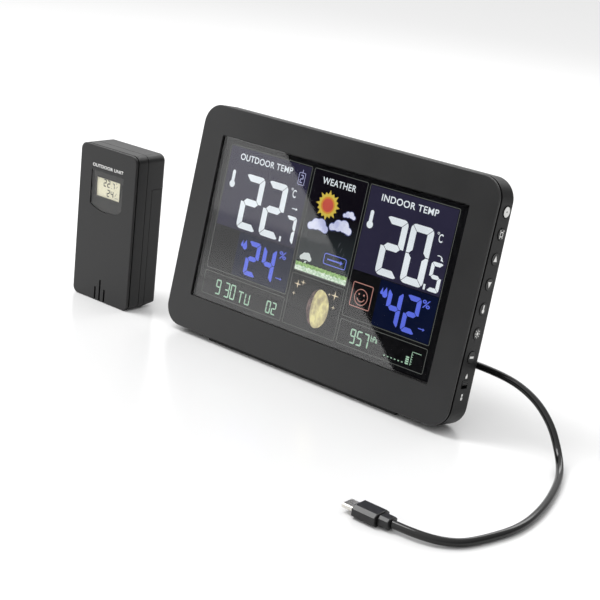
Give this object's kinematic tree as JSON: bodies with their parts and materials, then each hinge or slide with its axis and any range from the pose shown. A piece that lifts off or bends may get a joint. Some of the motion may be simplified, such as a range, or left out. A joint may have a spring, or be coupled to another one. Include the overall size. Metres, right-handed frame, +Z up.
{
  "type": "home weather station",
  "caption": "Leaning colour-display weather station with side buttons and a fold-out leg, its charging lead, and a separate wireless outdoor sensor.",
  "frame": {"origin": "middle of the base foot's underside, on the surface the station stands on", "axes": "+X along the display's width (to the reader's right), -Y towards the reader, +Z up"},
  "size_m": [0.3759, 0.1705, 0.1365],
  "materials": {
    "case_plastic": "fine moulded texture",
    "side_plastic": "fine moulded texture",
    "button_black": "satin",
    "lens_clear": "glossy clear acrylic",
    "lcd_glass": "dark display",
    "light_guide": "milky",
    "frame_white": "satin",
    "board_green": "solder mask",
    "chip_black": "moulded",
    "metal_nickel": "nickel plated",
    "copper_wire": "bare wire",
    "film_amber": "polyimide film",
    "tongue_white": "moulded",
    "screw_steel": "black zinc",
    "rubber_black": "matte",
    "cell_wrap": "plain printed sleeve",
    "cable_black": "smooth flexible jacket",
    "plug_dark": "satin overmould",
    "sensor_plastic": "fine moulded texture",
    "sensor_lens_smoke": "smoked window",
    "sensor_lcd_cream": "reflective display"
  },
  "bodies": {
    "station": {"front_bezel": "case_plastic", "display_lens": "lens_clear", "lcd_panel": "lcd_glass", "backlight_panel": "light_guide", "lcd_frame": "frame_white", "flex_cable": "film_amber", "main_board": "board_green", "board_screws": "screw_steel", "board_components": "chip_black", "radio_antenna": "copper_wire", "climate_sensor": "tongue_white", "buzzer": "chip_black", "side_board": "board_green", "tactile_switches": "chip_black", "slide_switch_housing": "metal_nickel", "rear_housing": "side_plastic", "batteries": "cell_wrap", "battery_contacts": "metal_nickel", "usb_port_shell": "metal_nickel", "usb_port_tongue": "tongue_white", "dc_jack": "chip_black", "housing_screws": "screw_steel", "base_foot": "rubber_black", "stand_hinge_pin": "metal_nickel"},
    "button_light": {"button_light": "button_black"},
    "button_alarm": {"button_alarm": "button_black"},
    "button_up": {"button_up": "button_black"},
    "button_down": {"button_down": "button_black"},
    "button_temperature": {"button_temperature": "button_black"},
    "button_brightness": {"button_brightness": "button_black"},
    "button_memory": {"button_memory": "button_black"},
    "slide_switch": {"slide_switch_knob": "button_black"},
    "leg": {"stand_leg": "side_plastic", "stand_leg_pad": "rubber_black"},
    "battery_door": {"battery_cover": "side_plastic"},
    "charging_lead": {"usb_a_plug_shell": "metal_nickel", "usb_a_plug_grip": "plug_dark", "usb_a_strain_relief": "plug_dark", "charging_cable": "cable_black", "usb_c_strain_relief": "plug_dark", "usb_c_plug_grip": "plug_dark", "usb_c_plug_tip": "metal_nickel"},
    "outdoor_sensor": {"sensor_front_cover": "sensor_plastic", "sensor_lens": "sensor_lens_smoke", "sensor_lcd": "sensor_lcd_cream", "sensor_board": "board_green", "sensor_rear_housing": "sensor_plastic", "sensor_batteries": "cell_wrap", "sensor_battery_contacts": "metal_nickel", "sensor_antenna": "copper_wire", "sensor_probe": "chip_black", "sensor_screws": "screw_steel"},
    "sensor_door": {"sensor_battery_cover": "sensor_plastic"},
    "sensor_channel": {"sensor_channel_switch": "button_black"},
    "sensor_reset": {"sensor_reset_button": "button_black"}
  },
  "joints": [
    {"name": "press_light", "type": "slide", "parent": "station", "child": "button_light", "axis": [-1, 0, 0], "range_m": [0, 0.0006], "stiffness_N_per_m": 500, "springref_m": -0.0004},
    {"name": "press_alarm", "type": "slide", "parent": "station", "child": "button_alarm", "axis": [-1, 0, 0], "range_m": [0, 0.0006], "stiffness_N_per_m": 500, "springref_m": -0.0004},
    {"name": "press_up", "type": "slide", "parent": "station", "child": "button_up", "axis": [-1, 0, 0], "range_m": [0, 0.0006], "stiffness_N_per_m": 500, "springref_m": -0.0004},
    {"name": "press_down", "type": "slide", "parent": "station", "child": "button_down", "axis": [-1, 0, 0], "range_m": [0, 0.0006], "stiffness_N_per_m": 500, "springref_m": -0.0004},
    {"name": "press_temperature", "type": "slide", "parent": "station", "child": "button_temperature", "axis": [-1, 0, 0], "range_m": [0, 0.0006], "stiffness_N_per_m": 500, "springref_m": -0.0004},
    {"name": "press_brightness", "type": "slide", "parent": "station", "child": "button_brightness", "axis": [-1, 0, 0], "range_m": [0, 0.0006], "stiffness_N_per_m": 500, "springref_m": -0.0004},
    {"name": "press_memory", "type": "slide", "parent": "station", "child": "button_memory", "axis": [-1, 0, 0], "range_m": [0, 0.0006], "stiffness_N_per_m": 500, "springref_m": -0.0004},
    {"name": "slide_switch_travel", "type": "slide", "parent": "station", "child": "slide_switch", "axis": [0, -0.1633, -0.9866], "range_m": [0, 0.002]},
    {"name": "leg_fold", "type": "hinge", "parent": "station", "child": "leg", "pos_m": [0, 0.0319, 0.05747], "axis": [-1, 0, 0], "range_deg": [0, 23.4]},
    {"name": "battery_door_off", "type": "slide", "parent": "station", "child": "battery_door", "axis": [0, 0.9866, -0.1633], "range_m": [0, 0.03]},
    {"name": "lead_unplug", "type": "slide", "parent": "station", "child": "charging_lead", "axis": [1, 0, 0], "range_m": [0, 0.02]},
    {"name": "sensor_placement", "type": "slide", "parent": "station", "child": "outdoor_sensor", "axis": [-1, 0, 0], "range_m": [0, 0.1]},
    {"name": "sensor_door_off", "type": "slide", "parent": "outdoor_sensor", "child": "sensor_door", "axis": [0, 1, 0], "range_m": [0, 0.03]},
    {"name": "sensor_channel_travel", "type": "slide", "parent": "outdoor_sensor", "child": "sensor_channel", "axis": [1, 0, 0], "range_m": [0, 0.004]},
    {"name": "sensor_reset_press", "type": "slide", "parent": "outdoor_sensor", "child": "sensor_reset", "axis": [0, -1, 0], "range_m": [0, 0.0005], "stiffness_N_per_m": 400, "springref_m": -0.0004}
  ]
}
